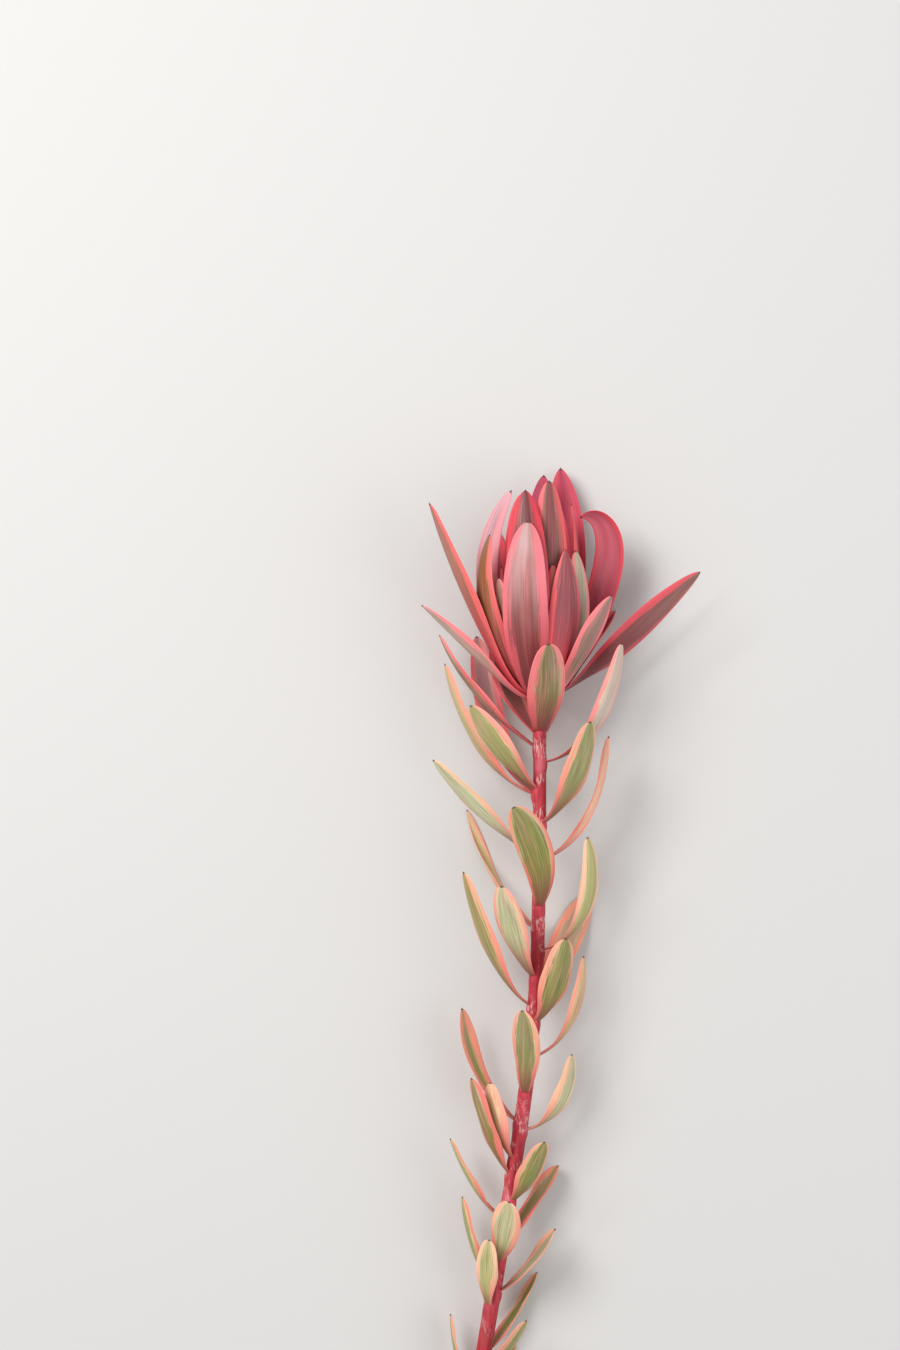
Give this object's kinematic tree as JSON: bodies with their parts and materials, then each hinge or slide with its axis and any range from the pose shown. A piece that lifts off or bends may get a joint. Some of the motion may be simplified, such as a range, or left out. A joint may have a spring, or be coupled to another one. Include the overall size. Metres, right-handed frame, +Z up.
{
  "type": "leucadendron stem",
  "caption": "Cut leafy flower stem with a goblet-shaped head of coloured bracts round a small cone, lying on a flat surface.",
  "frame": {"origin": "middle of the bounding box's underside, on the surface that the stem lies on", "axes": "+Y towards the flower head along the stem, +Z up from the surface, +X to the right as seen from above with the head at the top"},
  "size_m": [0.125, 0.5124, 0.0703],
  "materials": {
    "leaf_green_and_pink": "satin, leathery leaf",
    "bract_red": "waxy satin, leathery bract",
    "cone_cream": "matt, finely downy"
  },
  "bodies": {
    "root": {"leafy_stem": "leaf_green_and_pink", "bract_head": "bract_red", "flower_cone": "cone_cream"}
  },
  "joints": []
}
